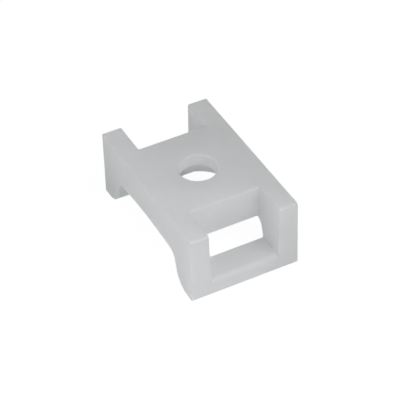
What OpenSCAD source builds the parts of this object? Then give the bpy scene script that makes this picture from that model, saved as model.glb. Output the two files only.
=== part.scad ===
// Screw-fixed saddle mount for a cable tie, moulded in one piece.
// It stands on its two end bars with its flat mounting face on top.
// X runs along the length, Y across the width, and Z up from the feet.
// The screw's axis is the Z axis.

/* [Overall size] */
// Length over the two ends
length = 26; // [25:0.5:34]
// Width over the ears
width = 16; // [15.6:0.2:22]
// Height from the feet to the mounting face
height = 10.2; // [9.4:0.1:14]

/* [Ears and end notches] */
// Width of each ear at the mounting face
ear_width = 2.75; // [2:0.05:3.4]
// Depth of each end notch, from the end to the deck
notch_depth = 5.45; // [4.9:0.05:5.8]
// Draft of the ears' inner faces, in degrees
notch_draft = 1; // [0:0.25:2]
// Rounding of the end edges of the ears and the deck
edge_round = 0.35; // [0.1:0.05:0.6]

/* [End bars] */
// Height of each end bar's top
bar_height = 2.25; // [1.6:0.05:2.8]
// Rounding of each end bar's upper outer edge
bar_round = 0.8; // [0.3:0.05:1.2]
// Length of the flat foot under each end bar
foot_length = 1.3; // [0.8:0.05:2.2]
// Radius of the lip over which the cable bundle beds
lip_radius = 3.1; // [2.4:0.05:3.4]

/* [Cradle] */
// Height of the cradle's roof at mid length
cradle_height = 5.2; // [4.8:0.05:6]
// Radius of the roof's shallow arch
cradle_radius = 70; // [45:1:200]
// Lean of the cradle's end walls, in degrees from upright
wall_lean = 15; // [8:1:20]
// Radius between the roof and the end walls
roof_fillet = 1.5; // [0.8:0.05:2]
// Depth of the tie's groove above the crown of the roof
groove_depth = 0.1; // [0.05:0.05:0.5]

/* [Screw hole] */
// Diameter of the screw's clearance hole
screw_hole_d = 5.3; // [3.4:0.1:6.4]
// Diameter of the recess that takes the screw's head
head_recess_d = 10.2; // [7.5:0.1:10.2]
// Thickness of the web that the head clamps
screw_web = 1.8; // [1.2:0.1:2.6]
// Rounding of the hole's rim at the mounting face
rim_round = 0.25; // [0.1:0.05:0.5]

/* [Hidden] */
$fn = 96;

// How far a cutter runs past the face that it cuts
over = 1;
// Overlap by which an arc crosses the line or arc that it flows into
blend = 0.002;

half_length = length / 2;
deck_end = half_length - notch_depth;
groove_roof = cradle_height + groove_depth;
seat_height = height - screw_web;

// Unit vectors across the cradle's end wall, towards the end, and up along it
across_wall = [cos(wall_lean), sin(wall_lean)];
up_wall = [-sin(wall_lean), cos(wall_lean)];

// The lip's arc starts at the foot and flows into the end wall
lip_centre = [half_length - foot_length, lip_radius];
wall_offset = across_wall * lip_centre - lip_radius + blend;

// The fillet's arc flows into the end wall and into the roof's arch
roof_centre = [0, cradle_height - cradle_radius];
centre_gap = cradle_radius - roof_fillet + blend;
fillet_across = wall_offset - roof_fillet + blend;
fillet_up = up_wall * roof_centre
    + sqrt(pow(centre_gap, 2)
           - pow(fillet_across - across_wall * roof_centre, 2));
fillet_centre = fillet_across * across_wall + fillet_up * up_wall;
arch_end = fillet_centre[0] * cradle_radius / centre_gap;

// What a rounding takes off a corner at the origin that points to +X and +Y
module corner_trim(radius) {
    difference() {
        translate([-radius, -radius]) square(radius + over);
        translate([-radius, -radius]) circle(radius);
    }
}

// Half of the cradle's end, in side view: the end wall, the fillet above it
// and the flare round the lip below it
module cradle_end() {
    reach = length;
    translate(fillet_centre) circle(roof_fillet);
    polygon([wall_offset * across_wall + fillet_up * up_wall,
             wall_offset * across_wall - reach * up_wall,
             (wall_offset - reach) * across_wall - reach * up_wall,
             (wall_offset - reach) * across_wall + fillet_up * up_wall]);
    difference() {
        polygon([lip_centre,
                 lip_centre - reach * across_wall,
                 [lip_centre[0] - reach, -reach],
                 [lip_centre[0], -reach]]);
        translate(lip_centre) circle(lip_radius);
    }
}

// Side view of the cradle, open downwards
module cradle_outline() {
    intersection() {
        translate(roof_centre) circle(cradle_radius);
        translate([-arch_end, -over]) square([2 * arch_end, height]);
    }
    for (end = [0, 1])
        mirror([end, 0]) cradle_end();
}

// Side view of the whole block, with the cradle cut out of it
module block_outline() {
    difference() {
        translate([-half_length, 0]) square([length, height]);
        cradle_outline();
        for (end = [0, 1])
            mirror([end, 0])
                translate([half_length, height]) corner_trim(edge_round);
    }
}

// Side view of the tie's way: the notch above each end bar, and the groove
// that joins the notches under the deck
module tie_way_outline() {
    translate([-half_length, bar_height])
        square([length, groove_roof - bar_height]);
    for (end = [0, 1])
        mirror([end, 0]) {
            translate([deck_end, bar_height])
                square([notch_depth + over, height + over - bar_height]);
            translate([deck_end, height]) corner_trim(edge_round);
            translate([half_length, bar_height]) corner_trim(bar_round);
        }
}

// Stands a side view up and runs it across the width
module across(span) {
    rotate([90, 0, 0]) linear_extrude(span, center = true) children();
}

// Space between the ears, whose inner faces lean towards each other
module between_ears() {
    lean = (height + over) * tan(notch_draft);
    top = width / 2 - ear_width + over * tan(notch_draft);
    rotate([90, 0, 90])
        linear_extrude(length + 2 * over, center = true)
            polygon([[-top + lean, 0], [top - lean, 0],
                     [top, height + over], [-top, height + over]]);
}

// Cutter for the tie's way from end to end
module tie_way() {
    intersection() {
        across(width) tie_way_outline();
        between_ears();
    }
}

// Cutter for the screw's hole, its rounded rim and the recess for its head
module screw_hole() {
    cylinder(h = height + over, d = screw_hole_d);
    cylinder(h = seat_height, d = head_recess_d);
    translate([0, 0, height])
        rotate_extrude()
            translate([screw_hole_d / 2, 0])
                mirror([1, 0]) corner_trim(rim_round);
}

module tie_mount() {
    color([0.86, 0.87, 0.87])
        difference() {
            across(width) block_outline();
            tie_way();
            screw_hole();
        }
}

tie_mount();
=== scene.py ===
"""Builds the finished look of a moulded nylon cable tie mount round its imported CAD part.

Everything is in metres, in the part's own frame: X runs along the mount, Y across it, and Z up
from the feet to the flat mounting face.
"""

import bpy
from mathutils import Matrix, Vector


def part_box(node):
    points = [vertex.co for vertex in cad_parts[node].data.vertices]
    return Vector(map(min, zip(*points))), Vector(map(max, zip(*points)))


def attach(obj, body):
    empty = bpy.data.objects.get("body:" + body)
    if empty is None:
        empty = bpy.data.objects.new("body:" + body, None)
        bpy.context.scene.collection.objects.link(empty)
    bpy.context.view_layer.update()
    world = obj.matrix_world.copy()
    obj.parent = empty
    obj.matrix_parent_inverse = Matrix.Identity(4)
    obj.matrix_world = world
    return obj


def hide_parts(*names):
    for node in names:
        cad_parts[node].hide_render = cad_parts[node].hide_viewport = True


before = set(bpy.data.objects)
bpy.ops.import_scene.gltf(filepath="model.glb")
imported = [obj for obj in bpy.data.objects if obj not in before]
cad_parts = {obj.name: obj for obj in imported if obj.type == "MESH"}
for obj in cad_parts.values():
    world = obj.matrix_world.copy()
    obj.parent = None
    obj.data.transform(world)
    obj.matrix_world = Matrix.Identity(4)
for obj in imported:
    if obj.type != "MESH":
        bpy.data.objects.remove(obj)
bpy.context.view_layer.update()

import math

import bmesh
import bpy
from bpy.props import FloatProperty, FloatVectorProperty, PointerProperty
from mathutils import Matrix, Vector

bl_info = {
    "name": "Cable tie mount",
    "version": (1, 0, 0),
    "blender": (4, 5, 0),
    "location": "3D View > Sidebar > Tie mount",
    "description": "A one-piece nylon saddle mount for a cable tie, with its stage",
    "category": "Object",
}

MOUNT_NODE = "tie_mount"
MOUNT_BODY = "root"

MM = 0.001
LOW_CORNER, HIGH_CORNER = (Vector(corner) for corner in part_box(MOUNT_NODE))
MIDDLE = (LOW_CORNER + HIGH_CORNER) / 2

# The mesh: points this close are one point, faces this nearly level are one flat face, and
# edges that turn more than this stay sharp.
SAME_POINT = 0.0005 * MM
LEVEL_ANGLE = math.radians(0.3)
SHARP_ANGLE = math.radians(28)

# The nylon: about how often each pattern repeats in a metre, how far it moves the roughness,
# and how strongly the nylon bends light.
CLOUD_SCALE = 110.0
MOTTLE_SCALE = 620.0
GRAIN_SCALE = 5200.0
MOTTLE_ROUGHNESS = 0.18
GRAIN_ROUGHNESS = 0.10
NYLON_IOR = 1.53

# The stage: where the camera aims beside the middle of the mount, how far the floor lies below
# the feet, and the lamps' distance and size.
AIM_RIGHT = 0.152 * MM
AIM_DOWN = 0.474 * MM
FLOOR_GAP = 0.02 * MM
LAMP_DISTANCE = 0.6
LAMP_SIZE = 0.45
NEAR_LAMP_DISTANCE = 0.18
NEAR_LAMP_SIZE = 0.135
WHITE = (1.0, 1.0, 1.0, 1.0)


# ---------------------------------------------------------------------------
# Shader helpers


class Value:
    """A shader socket that adds Math nodes when it is used in an expression."""

    def __init__(self, tree, socket):
        self.tree = tree
        self.socket = socket

    def _math(self, operation, first, second):
        return self.tree.add("ShaderNodeMath", {"operation": operation}, {0: first, 1: second})

    def __add__(self, other):
        return self._math("ADD", self, other)

    def __sub__(self, other):
        return self._math("SUBTRACT", self, other)

    def __mul__(self, other):
        return self._math("MULTIPLY", self, other)

    def __rsub__(self, other):
        return self._math("SUBTRACT", other, self)

    __radd__ = __add__
    __rmul__ = __mul__

    def or_else(self, other):
        """The larger of the two, which is either of them where both are 0 or 1."""
        return self._math("MAXIMUM", self, other)


class ShaderTree:
    """The node tree of one material or world, emptied and ready for new nodes."""

    def __init__(self, owner):
        owner.use_nodes = True
        self.nodes = owner.node_tree.nodes
        self.links = owner.node_tree.links
        self.nodes.clear()

    def add(self, kind, settings=None, inputs=None, output=0):
        """Adds a node: first its settings, then the values or links of its sockets."""
        node = self.nodes.new(kind)
        for name, setting in (settings or {}).items():
            setattr(node, name, setting)
        for name, value in (inputs or {}).items():
            if isinstance(value, Value):
                self.links.new(value.socket, node.inputs[name])
            else:
                node.inputs[name].default_value = value
        return Value(self, node.outputs[output]) if node.outputs else node


def with_alpha(colour):
    return (*colour[:3], 1.0)


def noise(tree, place, scale, detail, roughness):
    """How light a cloudy pattern is at each place, about 0.5 on average."""
    return tree.add(
        "ShaderNodeTexNoise",
        inputs={"Vector": place, "Scale": scale, "Detail": detail, "Roughness": roughness},
        output="Fac",
    )


def direct_rays(tree):
    """1 for rays from the camera, or from it by a reflection or through something clear."""
    camera = tree.add("ShaderNodeLightPath", output="Is Camera Ray")
    glossy = tree.add("ShaderNodeLightPath", output="Is Glossy Ray")
    through = tree.add("ShaderNodeLightPath", output="Is Transmission Ray")
    scattered = tree.add("ShaderNodeLightPath", output="Is Diffuse Ray")
    return camera.or_else(glossy).or_else(through - scattered)


# ---------------------------------------------------------------------------
# Settings that a user would change


class NylonSettings(bpy.types.PropertyGroup):
    """Finish of the moulded nylon."""

    colour: FloatVectorProperty(
        name="Colour",
        description="Colour of the natural, undyed nylon where it is clearest",
        subtype="COLOR",
        size=3,
        min=0.0,
        max=1.0,
        default=(0.760, 0.780, 0.766),
    )
    cloud_colour: FloatVectorProperty(
        name="Cloud colour",
        description="Colour of the denser, milkier patches in the nylon",
        subtype="COLOR",
        size=3,
        min=0.0,
        max=1.0,
        default=(0.856, 0.853, 0.872),
    )
    inner_colour: FloatVectorProperty(
        name="Inner colour",
        description="Colour of the light that comes through the nylon",
        subtype="COLOR",
        size=3,
        min=0.0,
        max=1.0,
        default=(0.945, 0.953, 0.959),
    )
    translucency: FloatProperty(
        name="Translucency",
        description="Share of the light that passes through the skin of the nylon",
        subtype="FACTOR",
        min=0.0,
        max=1.0,
        default=0.6,
    )
    roughness: FloatProperty(
        name="Roughness",
        description="Roughness of the satin surface that the mould leaves",
        subtype="FACTOR",
        min=0.05,
        max=1.0,
        default=0.5,
    )
    grain_depth: FloatProperty(
        name="Grain depth",
        description="Depth of the fine grain that the mould leaves",
        subtype="DISTANCE",
        unit="LENGTH",
        min=0.0,
        max=0.0001,
        default=0.000006,
        precision=7,
    )
    edge_radius: FloatProperty(
        name="Edge radius",
        description="Softening of the sharp edges, in the shading alone",
        subtype="DISTANCE",
        unit="LENGTH",
        min=0.0,
        max=0.0004,
        default=0.00007,
        precision=5,
    )


class StageSettings(bpy.types.PropertyGroup):
    """Camera, floor and lamps."""

    view_turn: FloatProperty(
        name="View turn",
        description="Turn of the camera round the mount, from the side towards the end",
        subtype="ANGLE",
        unit="ROTATION",
        default=math.radians(63.49),
    )
    view_rise: FloatProperty(
        name="View rise",
        description="Height of the camera above the horizon",
        subtype="ANGLE",
        unit="ROTATION",
        default=math.radians(40.63),
    )
    view_roll: FloatProperty(
        name="View roll",
        description="Tilt of the camera about its own line of sight",
        subtype="ANGLE",
        unit="ROTATION",
        default=math.radians(-1.91),
    )
    view_distance: FloatProperty(
        name="View distance",
        description="Distance from the camera to the middle of the mount",
        subtype="DISTANCE",
        unit="LENGTH",
        default=0.2918,
        precision=4,
    )
    lens: FloatProperty(
        name="Lens",
        description="Focal length on a sensor 36 mm wide",
        unit="CAMERA",
        default=193.55,
    )
    floor_size: FloatProperty(
        name="Floor size",
        description="Length of each side of the floor",
        subtype="DISTANCE",
        unit="LENGTH",
        default=3.0,
    )
    floor_colour: FloatVectorProperty(
        name="Floor colour",
        description="Colour of the pale floor",
        subtype="COLOR",
        size=3,
        min=0.0,
        max=1.0,
        default=(0.92, 0.92, 0.92),
    )
    floor_glow: FloatProperty(
        name="Floor glow",
        description="Share of plain white in what the camera sees of the floor",
        subtype="FACTOR",
        min=0.0,
        max=1.0,
        default=0.9,
    )
    floor_white: FloatProperty(
        name="Floor white",
        description="Strength of that white, just enough to keep the open floor plain white",
        min=0.0,
        default=1.05,
    )
    room_light: FloatProperty(
        name="Room light",
        description="Strength of the even light from all round",
        min=0.0,
        default=0.07,
    )
    front_power: FloatProperty(
        name="Front lamp",
        description="Power of the large soft lamp low in front",
        subtype="POWER",
        unit="POWER",
        min=0.0,
        default=1.17,
    )
    right_power: FloatProperty(
        name="Right lamp",
        description="Power of the large soft lamp low on the right",
        subtype="POWER",
        unit="POWER",
        min=0.0,
        default=0.528,
    )
    high_power: FloatProperty(
        name="High lamp",
        description="Power of the large soft lamp high on the right",
        subtype="POWER",
        unit="POWER",
        min=0.0,
        default=2.13,
    )
    left_power: FloatProperty(
        name="Left lamp",
        description="Power of the small soft lamp close by on the left",
        subtype="POWER",
        unit="POWER",
        min=0.0,
        default=0.0669,
    )


# ---------------------------------------------------------------------------
# Materials


def make_nylon(settings):
    """Milky natural nylon: light fills it through a translucent skin, its tone wanders a little,
    and the mould leaves a fine satin grain."""
    material = bpy.data.materials.new("natural_nylon_moulded")
    tree = ShaderTree(material)
    place = tree.add("ShaderNodeTexCoord", output="Object")
    broad = noise(tree, place, CLOUD_SCALE, detail=3.0, roughness=0.5)
    mottle = noise(tree, place, MOTTLE_SCALE, detail=4.0, roughness=0.6)
    grain = noise(tree, place, GRAIN_SCALE, detail=2.0, roughness=0.55)

    # Broad clouds, broken up a little by the mottle, and stretched to the full range of tint.
    cloud = broad * 0.7 + mottle * 0.3
    milkiness = tree.add(
        "ShaderNodeMapRange", inputs={"Value": cloud, "From Min": 0.3, "From Max": 0.7}
    )
    colour = tree.add(
        "ShaderNodeMix",
        {"data_type": "RGBA"},
        {
            0: milkiness,
            6: with_alpha(settings.colour),
            7: with_alpha(settings.cloud_colour),
        },
        output=2,
    )
    unevenness = (mottle - 0.5) * MOTTLE_ROUGHNESS + (grain - 0.5) * GRAIN_ROUGHNESS
    soft_edges = tree.add(
        "ShaderNodeBevel", {"samples": 6}, {"Radius": settings.edge_radius}
    )
    relief = tree.add(
        "ShaderNodeBump",
        inputs={
            "Strength": 1.0,
            "Distance": settings.grain_depth,
            "Height": grain * 0.7 + mottle * 0.9,
            "Normal": soft_edges,
        },
    )
    surface = tree.add(
        "ShaderNodeBsdfPrincipled",
        inputs={
            "Base Color": colour,
            "Roughness": unevenness + settings.roughness,
            "IOR": NYLON_IOR,
            "Normal": relief,
        },
    )
    glow_through = tree.add(
        "ShaderNodeBsdfTranslucent",
        inputs={"Color": with_alpha(settings.inner_colour)},
    )
    milky = tree.add(
        "ShaderNodeMixShader",
        inputs={0: settings.translucency, 1: surface, 2: glow_through},
    )
    tree.add("ShaderNodeOutputMaterial", inputs={"Surface": milky})
    return material


def make_floor_finish(settings):
    """Pale matt floor that the camera sees as nearly white, with the soft shadow still on it."""
    material = bpy.data.materials.new("pale_floor")
    tree = ShaderTree(material)
    matt = tree.add(
        "ShaderNodeBsdfDiffuse", inputs={"Color": with_alpha(settings.floor_colour)}
    )
    white = tree.add(
        "ShaderNodeEmission",
        inputs={"Color": WHITE, "Strength": settings.floor_white},
    )
    seen = direct_rays(tree) * settings.floor_glow
    mixed = tree.add("ShaderNodeMixShader", inputs={0: seen, 1: matt, 2: white})
    tree.add("ShaderNodeOutputMaterial", inputs={"Surface": mixed})
    return material


# ---------------------------------------------------------------------------
# Pieces


def merged_copy(node, name):
    """A copy of a CAD node's mesh with its loose triangles joined and its flat faces whole."""
    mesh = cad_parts[node].data.copy()
    mesh.name = name
    work = bmesh.new()
    work.from_mesh(mesh)
    bmesh.ops.remove_doubles(work, verts=work.verts, dist=SAME_POINT)
    bmesh.ops.dissolve_limit(
        work,
        angle_limit=LEVEL_ANGLE,
        use_dissolve_boundaries=False,
        verts=work.verts,
        edges=work.edges,
    )
    for face in work.faces:
        face.smooth = True
    work.to_mesh(mesh)
    work.free()
    piece = bpy.data.objects.new(name, mesh)
    bpy.context.scene.collection.objects.link(piece)
    return piece


def keep_flats_flat(piece):
    """Smooth shading that still shows flat faces as flat and sharp edges as edges."""
    piece.data.set_sharp_from_angle(angle=SHARP_ANGLE)
    weights = piece.modifiers.new("flat_faces_stay_flat", "WEIGHTED_NORMAL")
    weights.mode = "FACE_AREA"
    weights.keep_sharp = True
    graph = bpy.context.evaluated_depsgraph_get()
    finished = bpy.data.meshes.new_from_object(
        piece.evaluated_get(graph), preserve_all_data_layers=True, depsgraph=graph
    )
    piece.modifiers.clear()
    piece.data = finished


class TIEMOUNT_OT_moulding(bpy.types.Operator):
    """Makes the nylon moulding with its softened edges"""

    bl_idname = "tiemount.moulding"
    bl_label = "Nylon moulding"

    def execute(self, context):
        settings = context.scene.tiemount_nylon
        moulding = merged_copy(MOUNT_NODE, "nylon_moulding")
        keep_flats_flat(moulding)
        nylon = make_nylon(settings)
        for mesh in (moulding.data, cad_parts[MOUNT_NODE].data):
            mesh.materials.clear()
            mesh.materials.append(nylon)
        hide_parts(MOUNT_NODE)
        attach(moulding, MOUNT_BODY)
        return {"FINISHED"}


# ---------------------------------------------------------------------------
# Stage


def direction(turn, rise):
    """Unit vector out of the mount: turned from its side towards its end, then raised."""
    return Vector(
        (
            math.sin(turn) * math.cos(rise),
            -math.cos(turn) * math.cos(rise),
            math.sin(rise),
        )
    )


def make_camera(settings):
    """Long lens, looking down on one side and one end of the mount."""
    turn, roll = settings.view_turn, settings.view_roll
    back = direction(turn, settings.view_rise)
    right = Vector((math.cos(turn), math.sin(turn), 0))
    up = back.cross(right)
    right, up = (
        right * math.cos(roll) + up * math.sin(roll),
        up * math.cos(roll) - right * math.sin(roll),
    )
    aim = MIDDLE + right * AIM_RIGHT - up * AIM_DOWN

    data = bpy.data.cameras.new("camera")
    data.sensor_width = 36
    data.lens = settings.lens
    data.clip_start = 0.01
    camera = bpy.data.objects.new("camera", data)
    turned = Matrix((right, up, back)).transposed().to_4x4()
    camera.matrix_world = Matrix.Translation(aim + back * settings.view_distance) @ turned
    bpy.context.scene.collection.objects.link(camera)
    bpy.context.scene.camera = camera


def make_floor(settings):
    """One square face, just under the feet."""
    mesh = bpy.data.meshes.new("floor")
    work = bmesh.new()
    bmesh.ops.create_grid(work, x_segments=1, y_segments=1, size=settings.floor_size / 2)
    work.to_mesh(mesh)
    work.free()
    mesh.transform(Matrix.Translation((0, 0, LOW_CORNER.z - FLOOR_GAP)))
    mesh.materials.append(make_floor_finish(settings))
    floor = bpy.data.objects.new("floor", mesh)
    bpy.context.scene.collection.objects.link(floor)


def make_lamp(name, turn, rise, power, distance=LAMP_DISTANCE, size=LAMP_SIZE):
    """A square soft lamp that faces the mount, placed as the camera is, by degrees of turn and
    rise."""
    back = direction(math.radians(turn), math.radians(rise))
    data = bpy.data.lights.new(name, "AREA")
    data.shape = "SQUARE"
    data.size = size
    data.energy = power
    lamp = bpy.data.objects.new(name, data)
    lamp.location = MIDDLE + back * distance
    lamp.rotation_euler = back.to_track_quat("Z", "Y").to_euler()
    bpy.context.scene.collection.objects.link(lamp)


def make_room_light(settings):
    """Even light from all round, behind which the camera sees plain white."""
    world = bpy.data.worlds.new("studio")
    bpy.context.scene.world = world
    tree = ShaderTree(world)
    lit = tree.add(
        "ShaderNodeBackground",
        inputs={"Color": WHITE, "Strength": settings.room_light},
    )
    white = tree.add("ShaderNodeBackground", inputs={"Color": WHITE, "Strength": 1.0})
    mixed = tree.add(
        "ShaderNodeMixShader", inputs={0: direct_rays(tree), 1: lit, 2: white}
    )
    tree.add("ShaderNodeOutputWorld", inputs={"Surface": mixed})


class TIEMOUNT_OT_stage(bpy.types.Operator):
    """Makes the camera, the pale floor, the lamps and the light of the room"""

    bl_idname = "tiemount.stage"
    bl_label = "Stage"

    def execute(self, context):
        settings = context.scene.tiemount_stage
        make_camera(settings)
        make_floor(settings)
        make_lamp("front_lamp", turn=20, rise=25, power=settings.front_power)
        make_lamp("right_lamp", turn=105, rise=25, power=settings.right_power)
        make_lamp("high_lamp", turn=105, rise=55, power=settings.high_power)
        make_lamp(
            "left_lamp",
            turn=-30,
            rise=25,
            power=settings.left_power,
            distance=NEAR_LAMP_DISTANCE,
            size=NEAR_LAMP_SIZE,
        )
        make_room_light(settings)
        context.scene.view_settings.view_transform = "Standard"
        return {"FINISHED"}


# ---------------------------------------------------------------------------
# Panel, registration and the run


class TIEMOUNT_PT_panel(bpy.types.Panel):
    """Sizes, colours and steps of the tie mount"""

    bl_idname = "TIEMOUNT_PT_panel"
    bl_label = "Cable tie mount"
    bl_space_type = "VIEW_3D"
    bl_region_type = "UI"
    bl_category = "Tie mount"

    def draw(self, context):
        scene = context.scene
        for settings, step in (
            (scene.tiemount_nylon, TIEMOUNT_OT_moulding),
            (scene.tiemount_stage, TIEMOUNT_OT_stage),
        ):
            box = self.layout.box()
            for name in settings.__annotations__:
                box.prop(settings, name)
            box.operator(step.bl_idname)


CLASSES = (
    NylonSettings,
    StageSettings,
    TIEMOUNT_OT_moulding,
    TIEMOUNT_OT_stage,
    TIEMOUNT_PT_panel,
)


def register():
    for item in CLASSES:
        bpy.utils.register_class(item)
    bpy.types.Scene.tiemount_nylon = PointerProperty(type=NylonSettings)
    bpy.types.Scene.tiemount_stage = PointerProperty(type=StageSettings)


def unregister():
    del bpy.types.Scene.tiemount_stage
    del bpy.types.Scene.tiemount_nylon
    for item in reversed(CLASSES):
        bpy.utils.unregister_class(item)


def main():
    register()
    bpy.ops.tiemount.stage()
    bpy.ops.tiemount.moulding()


if __name__ == "__main__":
    main()
